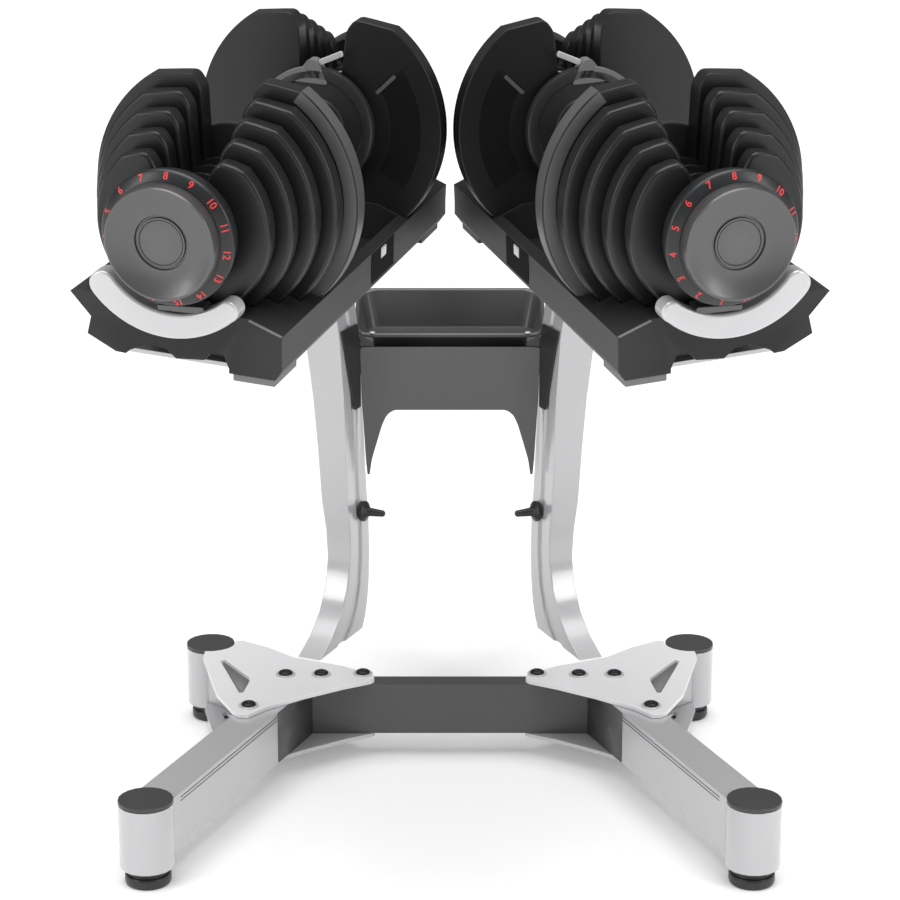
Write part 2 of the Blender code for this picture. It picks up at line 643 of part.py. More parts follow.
# ---- dial and selector discs ----------------------------------------------
def selector_mesh():
    """Dial, number ring, tube and the notched discs that pick up the plates."""
    dial_profile = (
        (-0.0368, 0), (-0.0368, 0.0195), (-0.0346, 0.0220), (-0.0420, 0.0435), (-0.0408, 0.0450),
        (-0.0290, 0.0470), (-0.0240, RING_RADIUS), (RING_BACK, RING_RADIUS),
        (RING_BACK, 0.0078), (-0.0315, 0.0078), (-0.0315, 0),
    )
    dial = lathe("dial", dial_profile, 24, LENGTHWISE)
    tube_end = GUARD_START - 0.0008
    tube_profile = [(RING_BACK - 0.004, TUBE_RADIUS)]
    for index in range(1, PLATE_COUNT):
        start, _ = plate_span(index)
        tube_profile += [
            (start - WEB_START, TUBE_RADIUS), (start - WEB_START, FLANGE_OUTER),
            (start - WEB_END, FLANGE_OUTER), (start - WEB_END, TUBE_RADIUS),
        ]
    tube_profile += [(tube_end, TUBE_RADIUS), (tube_end, 0.0078), (RING_BACK - 0.004, 0.0078)]
    pieces = [lathe("tube", tube_profile, 12, LENGTHWISE)]
    turn = 2 * math.pi / DIAL_STEPS
    for index in range(PLATE_COUNT):
        start, _ = plate_span(index)
        web = RING_BACK - 0.001 if index == 0 else start - WEB_END - 0.0006
        first = PLATE_THRESHOLDS[index]
        low = straight_down + (first - 0.5 - DIAL_SETTING) * turn
        high = straight_down + (DIAL_STEPS + 0.4 - DIAL_SETTING) * turn
        steps = max(3, DIAL_STEPS - first)
        outer = FLANGE_OUTER - 0.0006
        pieces.append(ring_sector("flange", FLANGE_INNER, outer, web, start - FLANGE_END, low, high, steps))
    return combine("selector", dial, pieces, "UNION")


selector = selector_mesh()


# ---- handle ---------------------------------------------------------------
def handle_mesh():
    """Rod with the two round guards that close the inner plates."""
    end = -0.0308
    mid_low = GUARD_START
    profile = (
        (end, 0), (end, ROD_RADIUS), (mid_low, ROD_RADIUS), (mid_low, GUARD_RADIUS - 0.002),
        (mid_low + 0.002, GUARD_RADIUS), (GUARD_END, GUARD_RADIUS), (GUARD_END, ROD_RADIUS),
        (TRAY_LENGTH - GUARD_END, ROD_RADIUS), (TRAY_LENGTH - GUARD_END, GUARD_RADIUS),
        (TRAY_LENGTH - mid_low - 0.002, GUARD_RADIUS), (TRAY_LENGTH - mid_low, GUARD_RADIUS - 0.002),
        (TRAY_LENGTH - mid_low, ROD_RADIUS),
        (TRAY_LENGTH - end, ROD_RADIUS), (TRAY_LENGTH - end, 0),
    )
    return lathe("handle", profile, 20, LENGTHWISE)


def grip_mesh():
    """Sleeve over the rod, swelling a little in the middle."""
    start = GUARD_END + GAP
    end = TRAY_LENGTH - start
    inner = ROD_RADIUS + GAP
    profile = [(start, inner)]
    steps = 6
    for k in range(steps + 1):
        share = k / steps
        swell = GRIP_BULGE * math.sin(math.pi * share)
        profile.append((start + (end - start) * share, GRIP_RADIUS + swell))
    profile.append((end, inner))
    return lathe("grip", profile, 12, LENGTHWISE)


handle = handle_mesh()
grip = grip_mesh()

axis_mid = (0.0, TRAY_LENGTH / 2, AXIS_HEIGHT)
set_pieces = [
    ("cradle", tray, TRAY_PLASTIC, None),
    ("crescent_front", crescent, TRIM_SILVER, None),
    ("crescent_rear", mirror_length(crescent), TRIM_SILVER, None),
    ("handle", handle, STEEL, axis_mid),
    ("grip", grip, RUBBER, axis_mid),
    ("dial_front", selector, DIAL_GREY, (0.0, 0.0, AXIS_HEIGHT)),
    ("dial_rear", mirror_length(selector), DIAL_GREY, (0.0, TRAY_LENGTH, AXIS_HEIGHT)),
]
for index, plate in enumerate(plates):
    start, _ = plate_span(index)
    number = str(index + 1)
    far = (0.0, TRAY_LENGTH - start, AXIS_HEIGHT)
    set_pieces.append(("plate_front_" + number, plate, PLATE_SHELL, (0.0, start, AXIS_HEIGHT)))
    set_pieces.append(("plate_rear_" + number, mirror_length(plate), PLATE_SHELL, far))

for name, mesh, look, pivot in set_pieces:
    add_node(name + "_left", mesh, look, pivot, LEFT_FRAME)
    add_node(name + "_right", mirrored(mesh), look, pivot, RIGHT_FRAME)

for mesh in list(bpy.data.meshes):
    if not mesh.users:
        bpy.data.meshes.remove(mesh)
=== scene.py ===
"""Looks for a pair of adjustable dumbbells in trays on one floor stand.

Metres. Pieces of a dumbbell are drawn in the frame of the left one (+X across
towards the middle of the stand, +Y along the handle, +Z up) and placed on both
sides; the right side is the reflection of the left in x = 0. Heights in a
dumbbell's outlines are counted from the handle's axis.
"""
import json
import math

import bmesh
import bpy
from mathutils import Matrix, Vector

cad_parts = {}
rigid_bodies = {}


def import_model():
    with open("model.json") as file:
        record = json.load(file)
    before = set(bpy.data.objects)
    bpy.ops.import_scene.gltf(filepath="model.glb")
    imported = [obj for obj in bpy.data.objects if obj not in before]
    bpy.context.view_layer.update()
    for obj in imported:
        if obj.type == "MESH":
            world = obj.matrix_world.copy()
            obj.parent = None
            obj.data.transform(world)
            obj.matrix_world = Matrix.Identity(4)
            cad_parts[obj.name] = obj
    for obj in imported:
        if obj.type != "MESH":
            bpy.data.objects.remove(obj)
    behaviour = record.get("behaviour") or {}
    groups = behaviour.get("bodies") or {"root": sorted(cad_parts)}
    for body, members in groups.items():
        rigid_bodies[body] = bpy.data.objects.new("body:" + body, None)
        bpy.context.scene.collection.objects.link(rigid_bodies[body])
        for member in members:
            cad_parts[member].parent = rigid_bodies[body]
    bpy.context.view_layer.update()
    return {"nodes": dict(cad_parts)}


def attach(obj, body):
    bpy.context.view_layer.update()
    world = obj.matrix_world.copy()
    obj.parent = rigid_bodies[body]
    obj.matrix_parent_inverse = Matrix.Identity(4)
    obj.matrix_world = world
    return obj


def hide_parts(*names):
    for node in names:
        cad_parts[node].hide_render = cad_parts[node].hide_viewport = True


for old in list(bpy.data.objects):
    bpy.data.objects.remove(old, do_unlink=True)

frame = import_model()

# ---- sizes shared with the solids -----------------------------------------
SHIFT = -0.14945
YAW = math.radians(17.3)
TILT = math.radians(5.9)
ROLL = math.radians(4.5)
TRAY_ORIGIN = Vector((-0.2115, SHIFT - 0.1645, 0.5304))
LENGTH = 0.4244
AXIS = 0.108
GAP = 0.0003
PLATE_RADII = (0.0715, 0.0820, 0.0925, 0.1025, 0.1115)
PLATE_COUNT = len(PLATE_RADII)
PLATE_FIRST = 0.0035
PLATE_PITCH = 0.0225
PLATE_THICKNESS = 0.0165
LARGEST_EXTRA = 0.001
PLATE_FLAT = 0.0125 - AXIS
SLOT_RADIUS = 0.0145
ARM_DROP = 0.0170
ARM_PEAK = 0.0300
PICKED_FROM = 3
GUARD_START = 0.1148
GUARD_END = 0.1240
GUARD_RADIUS = 0.0535
ROD_RADIUS = 0.0075
GRIP_RADIUS = 0.0165
DIAL_STEPS = 15
DIAL_SETTING = 8
DIAL_TURN = 2 * math.pi / DIAL_STEPS
PLATE_THRESHOLDS = (13, 10, 7, 5, 2)
UPRIGHT_YAW = math.radians(22.9)
UPRIGHT_BASE = Vector((-0.145, 0.338 + SHIFT, 0.0))
UPRIGHT_FACE = 0.0133

STRAIGHT_DOWN = -math.pi / 2
UNTURNED = Matrix.Identity(4)
SIDES = (("left", 1.0), ("right", -1.0))
FLIP = Matrix.Scale(-1.0, 4, (1.0, 0.0, 0.0))
LEFT_FRAME = (
    Matrix.Translation(TRAY_ORIGIN) @ Matrix.Rotation(-YAW, 4, "Z")
    @ Matrix.Rotation(TILT, 4, "X") @ Matrix.Rotation(ROLL, 4, "Y")
)
# Turns a shape drawn about +Z so that +Z runs along the handle, on its axis.
LENGTHWISE = Matrix(((1, 0, 0, 0), (0, 0, 1, 0), (0, 1, 0, AXIS), (0, 0, 0, 1)))
# Turns a shape drawn as (x, height) so that it is pushed rearwards on the stand.
REARWARD = Matrix(((1, 0, 0, 0), (0, 0, 1, SHIFT), (0, 1, 0, 0), (0, 0, 0, 1)))
END_FOR_END = Matrix.Translation((0, LENGTH, 0)) @ Matrix.Rotation(math.pi, 4, "Z")
# Directions of the left upright's inner face: rearwards along it, and out of it.
ALONG = Vector((math.sin(UPRIGHT_YAW), math.cos(UPRIGHT_YAW), 0.0))
ACROSS = Vector((ALONG.y, -ALONG.x, 0.0))


# ---- materials ------------------------------------------------------------
# Painted highlight along convex edges: the pointiness range over which it fades in, and the most it lightens.
EDGE_HIGHLIGHT_FROM = 0.52
EDGE_HIGHLIGHT_TO = 0.62
EDGE_HIGHLIGHT_SHARE = 0.35
BUMP_STRENGTH = 0.35
BRUSH_STRETCH = 18.0


def link(tree, source, output, target, socket):
    tree.links.new(source.outputs[output], target.inputs[socket])


def blended(tree, factor, low, high):
    """Mix node between two plain colours, driven by a texture value."""
    mix = tree.nodes.new("ShaderNodeMix")
    mix.data_type = "RGBA"
    mix.inputs[6].default_value = (*low, 1.0)
    mix.inputs[7].default_value = (*high, 1.0)
    tree.links.new(factor, mix.inputs[0])
    return mix


def noise(tree, scale, detail):
    texture = tree.nodes.new("ShaderNodeTexNoise")
    texture.inputs["Scale"].default_value = scale
    texture.inputs["Detail"].default_value = detail
    return texture


def surface(name, colour, metallic=0.0, roughness=0.36, grain=900.0, bump=0.00006, spread=0.06, vary=0.12,
            coat=0.0, brushed=False, shine=0.5):
    """Painted, moulded or bare surface: broad colour drift, fine grain in bump and roughness."""
    made = bpy.data.materials.new(name)
    made.use_nodes = True
    tree = made.node_tree
    shader = tree.nodes["Principled BSDF"]
    shader.inputs["Metallic"].default_value = metallic
    shader.inputs["Coat Weight"].default_value = coat
    shader.inputs["Coat Roughness"].default_value = 0.12
    shader.inputs["Specular IOR Level"].default_value = shine
    place = tree.nodes.new("ShaderNodeTexCoord")
    stretch = tree.nodes.new("ShaderNodeMapping")
    stretch.inputs["Scale"].default_value = (1.0, 1.0, BRUSH_STRETCH if brushed else 1.0)
    link(tree, place, "Object", stretch, "Vector")
    broad = noise(tree, 14.0, 4.0)
    link(tree, place, "Object", broad, "Vector")
    fine = noise(tree, grain, 3.0)
    fine.inputs["Roughness"].default_value = 0.6
    link(tree, stretch, "Vector", fine, "Vector")
    darker = tuple(c * (1.0 - vary) for c in colour)
    lighter = tuple(min(1.0, c * (1.0 + vary)) for c in colour)
    edge_highlight_colour = tuple(min(1.0, c * 1.5 + 0.02) for c in colour)
    drift = blended(tree, broad.outputs["Fac"], darker, lighter)
    # Convex edges are painted paler by pointiness: a painted highlight along every sharp edge.
    edge = tree.nodes.new("ShaderNodeNewGeometry")
    edge_highlight_mask = tree.nodes.new("ShaderNodeMapRange")
    edge_highlight_mask.inputs["From Min"].default_value = EDGE_HIGHLIGHT_FROM
    edge_highlight_mask.inputs["From Max"].default_value = EDGE_HIGHLIGHT_TO
    edge_highlight_mask.inputs["To Max"].default_value = EDGE_HIGHLIGHT_SHARE
    link(tree, edge, "Pointiness", edge_highlight_mask, "Value")
    edge_highlighted = blended(tree, edge_highlight_mask.outputs["Result"], colour, edge_highlight_colour)
    tree.links.new(drift.outputs[2], edge_highlighted.inputs[6])
    tree.links.new(edge_highlighted.outputs[2], shader.inputs["Base Color"])
    gloss = tree.nodes.new("ShaderNodeMapRange")
    gloss.inputs["To Min"].default_value = max(0.02, roughness - spread)
    gloss.inputs["To Max"].default_value = min(1.0, roughness + spread)
    link(tree, fine, "Fac", gloss, "Value")
    link(tree, gloss, "Result", shader, "Roughness")
    raised = tree.nodes.new("ShaderNodeBump")
    raised.inputs["Strength"].default_value = BUMP_STRENGTH
    raised.inputs["Distance"].default_value = bump
    link(tree, fine, "Fac", raised, "Height")
    link(tree, raised, "Normal", shader, "Normal")
    return made


SILVER = surface("silver_paint", (0.50, 0.50, 0.51), metallic=0.15, roughness=0.30, bump=0.00002,
                 spread=0.04, vary=0.02, coat=1.0)
# Paler copy of the silver paint for the upper gusset: painted light on its top.
SILVER_PAINTED_LIGHT_TOP = surface("silver_paint_top", (0.82, 0.82, 0.83), metallic=0.05, roughness=0.40, bump=0.00002,
                     spread=0.04, vary=0.02, coat=0.1)
DARK_PAINT = surface("dark_powder_coat", (0.070, 0.070, 0.072), metallic=0.1, roughness=0.42, grain=1100.0,
                     bump=0.00008, spread=0.05, vary=0.10)
SHELF = surface("shelf_powder_coat", (0.072, 0.072, 0.074), metallic=0.2, roughness=0.34, grain=1100.0,
                spread=0.05, vary=0.08, coat=0.2)
DARK_CAP = surface("moulded_cap", (0.050, 0.050, 0.052), grain=700.0)
TRAY = surface("moulded_tray", (0.024, 0.024, 0.025), roughness=0.46, grain=1300.0, bump=0.00012,
               spread=0.08, vary=0.15, shine=0.22)
PLATE = surface("plate_skin", (0.013, 0.013, 0.014), roughness=0.34, grain=1000.0, bump=0.00008,
                vary=0.15, shine=0.40)
# Paler grey painted on the largest plate as highlights: rim band, face band and mark.
PLATE_PAINTED_HIGHLIGHT = surface("plate_rim_band", (0.100, 0.100, 0.102), metallic=0.10, roughness=0.38, grain=1000.0,
                      bump=0.00008)
# Near-black with hardly any sheen: painted shade, in the largest plate's recess and round the tray's latch.
PAINTED_SHADE = surface("plate_recess", (0.005, 0.005, 0.005), roughness=0.75, grain=1000.0, bump=0.00008,
                 shine=0.06)
DIAL = surface("dial_metallic_grey", (0.110, 0.110, 0.110), metallic=0.60, grain=800.0, bump=0.00003,
               spread=0.04, vary=0.04, coat=0.1)
RING = surface("number_ring_black", (0.014, 0.015, 0.016), roughness=0.35, bump=0.00005)
TRIM = surface("silver_trim", (0.60, 0.60, 0.61), metallic=0.30, roughness=0.30, bump=0.00001,
               spread=0.03, vary=0.02, coat=0.1)
STEEL = surface("bare_steel", (0.10, 0.10, 0.105), metallic=0.8, grain=400.0, bump=0.00004,
                spread=0.08, vary=0.08, brushed=True)
RUBBER = surface("black_rubber", (0.016, 0.016, 0.017), roughness=0.60, grain=1500.0, bump=0.00015,
                 spread=0.10, vary=0.15)
BLACK = surface("black_moulding", (0.022, 0.022, 0.023), spread=0.08)
ZINC = surface("black_zinc_bolt", (0.020, 0.020, 0.021), metallic=0.5, roughness=0.35, grain=600.0,
               bump=0.00004, spread=0.08)
# Pale grey: the real foot strips and guard stop, and painted highlights (tray wall edge, guard rim) and
# painted shadow or shade (leg seams, gusset window).
PALE_PARTS_AND_PAINTED_LIGHT = surface("pale_foot_strip", (0.16, 0.16, 0.165), roughness=0.55, grain=1200.0, bump=0.0001,
              spread=0.08)
RED = surface("red_print", (0.62, 0.035, 0.040), roughness=0.45, grain=1200.0, bump=0.00002, vary=0.10)


# ---- outlines -------------------------------------------------------------
def arc(radius, low, high, steps, centre=(0.0, 0.0)):
    """Points along an arc, both ends included."""
    angles = [low + (high - low) * k / steps for k in range(steps + 1)]
    return [(centre[0] + radius * math.cos(angle), centre[1] + radius * math.sin(angle)) for angle in angles]


def round_end(first, last):
    """Half circle from first to last, without its two ends."""
    centre = ((first[0] + last[0]) / 2, (first[1] + last[1]) / 2)
    radius = math.hypot(first[0] - last[0], first[1] - last[1]) / 2
    begin = math.atan2(first[1] - centre[1], first[0] - centre[0])
    return arc(radius, begin, begin + math.pi, 12, centre)[1:-1]


def rounded(points, radius, steps=5):
    """Closed outline with each corner replaced by a short arc-like curve."""
    result = []
    count = len(points)
    for i in range(count):
        here = Vector(points[i])
        before = Vector(points[i - 1]) - here
        after = Vector(points[(i + 1) % count]) - here
        reach = min(radius, before.length * 0.45, after.length * 0.45)
        start = here + before.normalized() * reach
        end = here + after.normalized() * reach
        for k in range(steps + 1):
            t = k / steps
            result.append(start * (1 - t) ** 2 + here * 2 * t * (1 - t) + end * t ** 2)
    return [(p.x, p.y) for p in result]


def from_tray_base(points):
    """Outline with its heights above the tray's base line counted from the handle's axis instead."""
    return [(a, height - AXIS) for a, height in points]


def on_stand(points):
    """Top-view points of the stand, moved to where the set stands in the world."""
    return [(x, y + SHIFT) for x, y in points]


def rectangle(low_a, low_b, high_a, high_b):
    return ((low_a, low_b), (high_a, low_b), (high_a, high_b), (low_a, high_b))


# ---- mesh tools -----------------------------------------------------------
def settle(work, name, placement=None):
    """Finish a bmesh: place it, face it outward and smooth it."""
    if placement:
        work.transform(placement)
    bmesh.ops.remove_doubles(work, verts=work.verts, dist=1e-6)
    bmesh.ops.recalc_face_normals(work, faces=work.faces)
    for face in work.faces:
        face.smooth = True
    mesh = bpy.data.meshes.new(name)
    work.to_mesh(mesh)
    work.free()
    return mesh


def slab(name, outline, start, end, placement=LENGTHWISE):
    """Flat outline pushed from start to end."""
    work = bmesh.new()
    face = work.faces.new([work.verts.new((a, b, start)) for a, b in outline])
    grown = bmesh.ops.extrude_face_region(work, geom=[face])
    moved = [item for item in grown["geom"] if isinstance(item, bmesh.types.BMVert)]
    bmesh.ops.translate(work, verts=moved, vec=(0.0, 0.0, end - start))
    return settle(work, name, placement)


def turned(name, profile, segments=96, placement=LENGTHWISE):
    """(position, radius) points spun about the local Z axis."""
    work = bmesh.new()
    points = [work.verts.new((radius, 0.0, position)) for position, radius in profile]
    edges = [work.edges.new(pair) for pair in zip(points, points[1:])]
    if profile[0][1] > 0:
        edges.append(work.edges.new((points[-1], points[0])))
    bmesh.ops.spin(work, geom=points + edges, axis=(0, 0, 1), angle=2 * math.pi, steps=segments)
    bmesh.ops.dissolve_degenerate(work, dist=1e-6, edges=work.edges)
    mesh = settle(work, name, placement)
    mesh.set_sharp_from_angle(angle=math.radians(38.0))
    return mesh


def arc_sector(name, inner, outer, low, high, start, end, steps=24):
    """Part of a flat ring about the handle's axis."""
    return slab(name, arc(outer, low, high, steps) + arc(inner, high, low, steps), start, end)


def skinned(name, levels):
    """Closed skin over a stack of equal loops."""
    work = bmesh.new()
    loops = [[work.verts.new(point) for point in level] for level in levels]
    work.faces.new(loops[0])
    work.faces.new(loops[-1])
    for low, high in zip(loops, loops[1:]):
        for i in range(len(low)):
            j = (i + 1) % len(low)
            work.faces.new((low[i], low[j], high[j], high[i]))
    mesh = settle(work, name)
    mesh.set_sharp_from_angle(angle=math.radians(50.0))
    return mesh


def joined(name, meshes):
    """Several meshes as one."""
    work = bmesh.new()
    for mesh in meshes:
        work.from_mesh(mesh)
    result = bpy.data.meshes.new(name)
    work.to_mesh(result)
    work.free()
    return result


def drop_custom_normals(mesh):
    """Forget the imported normals, so that bevels and smooth shading set new ones."""
    if mesh.attributes.get("custom_normal"):
        mesh.attributes.remove(mesh.attributes["custom_normal"])


def weld(item):
    step = item.modifiers.new("weld", "WELD")
    step.merge_threshold = 2e-6


def soften(item, width, segments=3, angle=32.0):
    """Rounds the sharp edges of a piece and keeps its flats flat."""
    step = item.modifiers.new("edges", "BEVEL")
    step.width = width
    step.segments = segments
    step.limit_method = "ANGLE"
    step.angle_limit = math.radians(angle)
    step.harden_normals = True
    step.use_clamp_overlap = True


def evaluated_mesh(item):
    """New mesh with the item's modifiers, or its text, worked out."""
    bpy.context.view_layer.update()
    graph = bpy.context.evaluated_depsgraph_get()
    return bpy.data.meshes.new_from_object(item.evaluated_get(graph))


def cut(item, tool_mesh):
    """Takes a mesh out of a piece, applied at once."""
    tool = bpy.data.objects.new(item.name + "_tool", tool_mesh)
    bpy.context.scene.collection.objects.link(tool)
    step = item.modifiers.new("cut", "BOOLEAN")
    step.operation = "DIFFERENCE"
    step.solver = "EXACT"
    step.object = tool
    item.data = evaluated_mesh(item)
    item.modifiers.clear()
    bpy.data.objects.remove(tool, do_unlink=True)


# ---- placing pieces -------------------------------------------------------
def place(name, mesh, look, body, bevel=0.0, segments=3, stands_for=None, slot=None):
    """One piece in world position, riding on a body."""
    item = bpy.data.objects.new(name, mesh)
    bpy.context.scene.collection.objects.link(item)
    mesh.materials.clear()
    mesh.materials.append(look)
    if bevel:
        soften(item, bevel, segments)
    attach(item, body)
    if stands_for:
        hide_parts(stands_for)


def on_both_sides(name, mesh, look, body, in_frame=True, stands_for=None, **options):
    """A piece on the left and its reflection on the right. {} in names is the side."""
    for side, sign in SIDES:
        copy = mesh.copy()
        if in_frame:
            copy.transform(LEFT_FRAME)
        if sign < 0:
            copy.transform(FLIP)
            copy.flip_normals()
        node = stands_for.format(side) if stands_for else None
        place(name.format(side), copy, look, body.format(side), stands_for=node, **options)


def at_both_ends(name, mesh, look, body, stands_for=None, **options):
    """A dumbbell piece at the front end, and turned end for end at the rear end."""
    for end in ("front", "rear"):
        copy = mesh.copy()
        if end == "rear":
            copy.transform(END_FOR_END)
        node = stands_for.replace("[end]", end) if stands_for else None
        on_both_sides(name.replace("[end]", end), copy, look, body.replace("[end]", end),
                      stands_for=node, **options)


# ---- CAD nodes that stay --------------------------------------------------
# start of the name: (material, width of the rounded edges)
KEPT = (
    ("crossbar", DARK_PAINT, 0.0012), ("leg_", SILVER, 0.0012), ("cap_", DARK_CAP, 0.0010),
    # The upper gusset takes the paler silver, painted light on its top.
    ("gusset_top", SILVER_PAINTED_LIGHT_TOP, 0.0006), ("gusset_bottom", SILVER, 0.0006),
    ("upright", SILVER, 0.0012), ("tray_support", SILVER, 0.0006),
)
for name, node in frame["nodes"].items():
    for start, look, width in KEPT:
        if name.startswith(start):
            node.data.materials.clear()
            node.data.materials.append(look)
            drop_custom_normals(node.data)
            node.data.polygons.foreach_set("use_smooth", [True] * len(node.data.polygons))
            weld(node)
            soften(node, width, 2)


# ---- trays ----------------------------------------------------------------
# The tray is the solid's own shape with its end arches cut deeper, so that
# light shows under it, and with the slot of the latch in its inner wall.
ARCH = (
    (-0.0454, -0.0200), (-0.0454, 0.0005), (-0.0257, 0.0095), (-0.0114, 0.0076), (-0.0029, 0.0010),
    (0.0206, 0.0033), (0.0264, 0.0100), (0.0364, 0.0110), (0.0416, -0.0008), (0.0416, -0.0200),
)
ARCH_DEPTH = 0.030
ARCH_OVERRUN = 0.010
LATCH_SLOT = rectangle(0.070, 0.0240, 0.100, 0.0310)
LATCH_SLOT_START = 0.232
LATCH_SLOT_END = 0.254

tray_node = frame["nodes"]["cradle_left"]
tray_source = bpy.data.objects.new("tray_source", tray_node.data.copy())
tray_source.data.transform(tray_node.matrix_world)
bpy.context.scene.collection.objects.link(tray_source)
weld(tray_source)
arch_outline = from_tray_base(ARCH)
slot_outline = rounded(from_tray_base(LATCH_SLOT), 0.002)
for outline, start, end in (
        (arch_outline, -ARCH_OVERRUN, ARCH_DEPTH),
        (slot_outline, LATCH_SLOT_START, LATCH_SLOT_END),
        (arch_outline, LENGTH - ARCH_DEPTH, LENGTH + ARCH_OVERRUN)):
    tool = slab("tray_tool", outline, start, end)
    tool.transform(LEFT_FRAME)
    cut(tray_source, tool)
drop_custom_normals(tray_source.data)
tray_work = bmesh.new()
tray_work.from_mesh(tray_source.data)
bmesh.ops.remove_doubles(tray_work, verts=tray_work.verts, dist=2e-5)
bmesh.ops.dissolve_limit(tray_work, angle_limit=0.002, verts=tray_work.verts, edges=tray_work.edges)
tray_mesh = settle(tray_work, "tray")
tray_mesh.set_sharp_from_angle(angle=math.radians(28.0))
on_both_sides("tray_{}_shell", tray_mesh, TRAY, "stand", in_frame=False,
              stands_for="cradle_{}", slot="tray_plastic")
bpy.data.objects.remove(tray_source, do_unlink=True)


# ---- silver trims under the dials -----------------------------------------
CRESCENT_INNER = 0.0635
CRESCENT_OUTER = 0.081
CRESCENT_CENTRE = (-0.004, -0.003)
CRESCENT_LOW = STRAIGHT_DOWN - math.radians(50)
CRESCENT_HIGH = STRAIGHT_DOWN + math.radians(42)
CRESCENT_DEPTH = 0.018

crescent_outside = arc(CRESCENT_OUTER, CRESCENT_LOW, CRESCENT_HIGH, 60, CRESCENT_CENTRE)
crescent_inside = arc(CRESCENT_INNER, CRESCENT_HIGH, CRESCENT_LOW, 60)
crescent_outline = crescent_outside + round_end(crescent_outside[-1], crescent_inside[0])
crescent_outline += crescent_inside + round_end(crescent_inside[-1], crescent_outside[0])
for end, start, stop in (("front", -CRESCENT_DEPTH, -GAP), ("rear", LENGTH + GAP, LENGTH + CRESCENT_DEPTH)):
    crescent = slab("crescent", crescent_outline, start, stop)
    on_both_sides("crescent_" + end + "_{}_trim", crescent, TRIM, "stand", bevel=0.0026, segments=4,
                  stands_for="crescent_" + end + "_{}")


# ---- plates ---------------------------------------------------------------
def plate_start(index):
    return PLATE_FIRST + PLATE_PITCH * index


def plate_outline(index):
    """Round plate with a flat foot and two rounded fingers beside the open slot."""
    radius = PLATE_RADII[index]
    peak = radius - ARM_DROP
    arm = math.acos((peak - 0.0035) / radius)
    circle = arc(radius, math.pi / 2 + arm, math.pi * 5 / 2 - arm, 110)
    outline = [(a, max(b, PLATE_FLAT)) for a, b in circle]
    hand = [outline[-1], (ARM_PEAK + 0.009, peak), (ARM_PEAK - 0.001, peak + 0.001)]
    hand += [(ARM_PEAK - 0.0085, peak - 0.0095), (SLOT_RADIUS + 0.0025, 0.024), (SLOT_RADIUS, 0.0)]
    finger = rounded(hand, 0.007)[6:-6]
    well = arc(SLOT_RADIUS, 0.0, -math.pi, 12)
    return outline + finger + well + [(-a, b) for a, b in reversed(finger)]


LARGEST = PLATE_COUNT - 1
for index in range(PLATE_COUNT):
    start = plate_start(index)
    end = start + PLATE_THICKNESS + (LARGEST_EXTRA if index == LARGEST else 0.0)
    body = "picked_plates_{}" if index + 1 >= PICKED_FROM else "stand"
    label = "plate_[end]_" + str(index + 1)
    at_both_ends(
        label + "_{}_skin", slab("plate", plate_outline(index), start, end), PLATE, body,
        stands_for=label + "_{}", bevel=0.0012 if index == LARGEST else 0.0034, segments=4,
        slot="plate_shell")

# Inner face of the largest plate: a near-black patch, painted shade for a dark recess, with a short raised
# mark painted pale as a highlight. A sector of its rim and of the outer part of its front face is painted
# paler, a painted highlight.
LARGEST_FRONT = plate_start(LARGEST)
LARGEST_BACK = LARGEST_FRONT + PLATE_THICKNESS + LARGEST_EXTRA
RECESS_INNER = 0.0660
RECESS_OUTER = 0.0930
HIGHLIGHT_MARK = ((-0.0500, 0.0345), (-0.0525, 0.0325), (-0.0690, 0.0500), (-0.0665, 0.0520))
RIM = PLATE_RADII[LARGEST]
BAND_LOW = math.radians(-48)
BAND_HIGH = math.radians(56)

# Near-black patch, painted shade for the recess.
recess = arc_sector("recess", RECESS_INNER, RECESS_OUTER, math.pi - math.radians(38),
                    math.pi + math.radians(32), LARGEST_BACK - 0.0010, LARGEST_BACK + 0.0002)
at_both_ends("plate_recess_[end]_{}", recess, PAINTED_SHADE, "picked_plates_{}", bevel=0.0002, segments=1,
             slot="plate_shell")
mark = slab("mark", rounded(HIGHLIGHT_MARK, 0.0012), LARGEST_BACK - 0.0010, LARGEST_BACK + 0.0006)
at_both_ends("plate_mark_[end]_{}", mark, PLATE_PAINTED_HIGHLIGHT, "picked_plates_{}", bevel=0.0004, segments=2,
             slot="plate_shell")
for name, inner, outer, start, stop in (
        ("plate_rim_band_{}", RIM - 0.0040, RIM + 0.0004, LARGEST_FRONT + 0.0012, LARGEST_BACK - 0.0014),
        ("plate_face_band_{}", RIM - 0.0115, RIM - 0.0012, LARGEST_FRONT - 0.0004, LARGEST_FRONT + 0.0010)):
    band = arc_sector("band", inner, outer, BAND_LOW, BAND_HIGH, start, stop, 60)
    on_both_sides(name, band, PLATE_PAINTED_HIGHLIGHT, "picked_plates_{}", bevel=0.0003, segments=2, slot="plate_shell")


# ---- dials and selector discs ---------------------------------------------
# (position, radius) from the hub outwards: flat hub, groove, hollow face, rim.
HUB_PROFILE = [
    (-0.0357, 0.0), (-0.0357, 0.0172), (-0.0352, 0.0176), (-0.0352, 0.0179), (-0.0360, 0.0183),
    (-0.0362, 0.0194), (-0.0346, 0.0199), (-0.0346, 0.0212), (-0.0363, 0.0218),
]
FACE_STEPS = 9
FACE_RISE = 0.0052
FACE_WIDTH = 0.0200
DIAL_RIM_PROFILE = [
    (-0.0420, 0.0427), (-0.0420, 0.0436), (-0.0414, 0.0443), (-0.0400, 0.0447), (-0.0300, 0.0453),
    (-0.0290, 0.0448), (-0.0290, 0.0),
]
RING_PROFILE = [
    (-0.0288, 0.0), (-0.0288, 0.0455), (-0.0284, 0.0466), (-0.0256, 0.0525), (-0.0244, 0.0538),
    (-0.0228, 0.0543), (-0.0078, 0.0508), (-0.0062, 0.0498), (-0.0060, 0.0),
]
TUBE_RADIUS = 0.0110
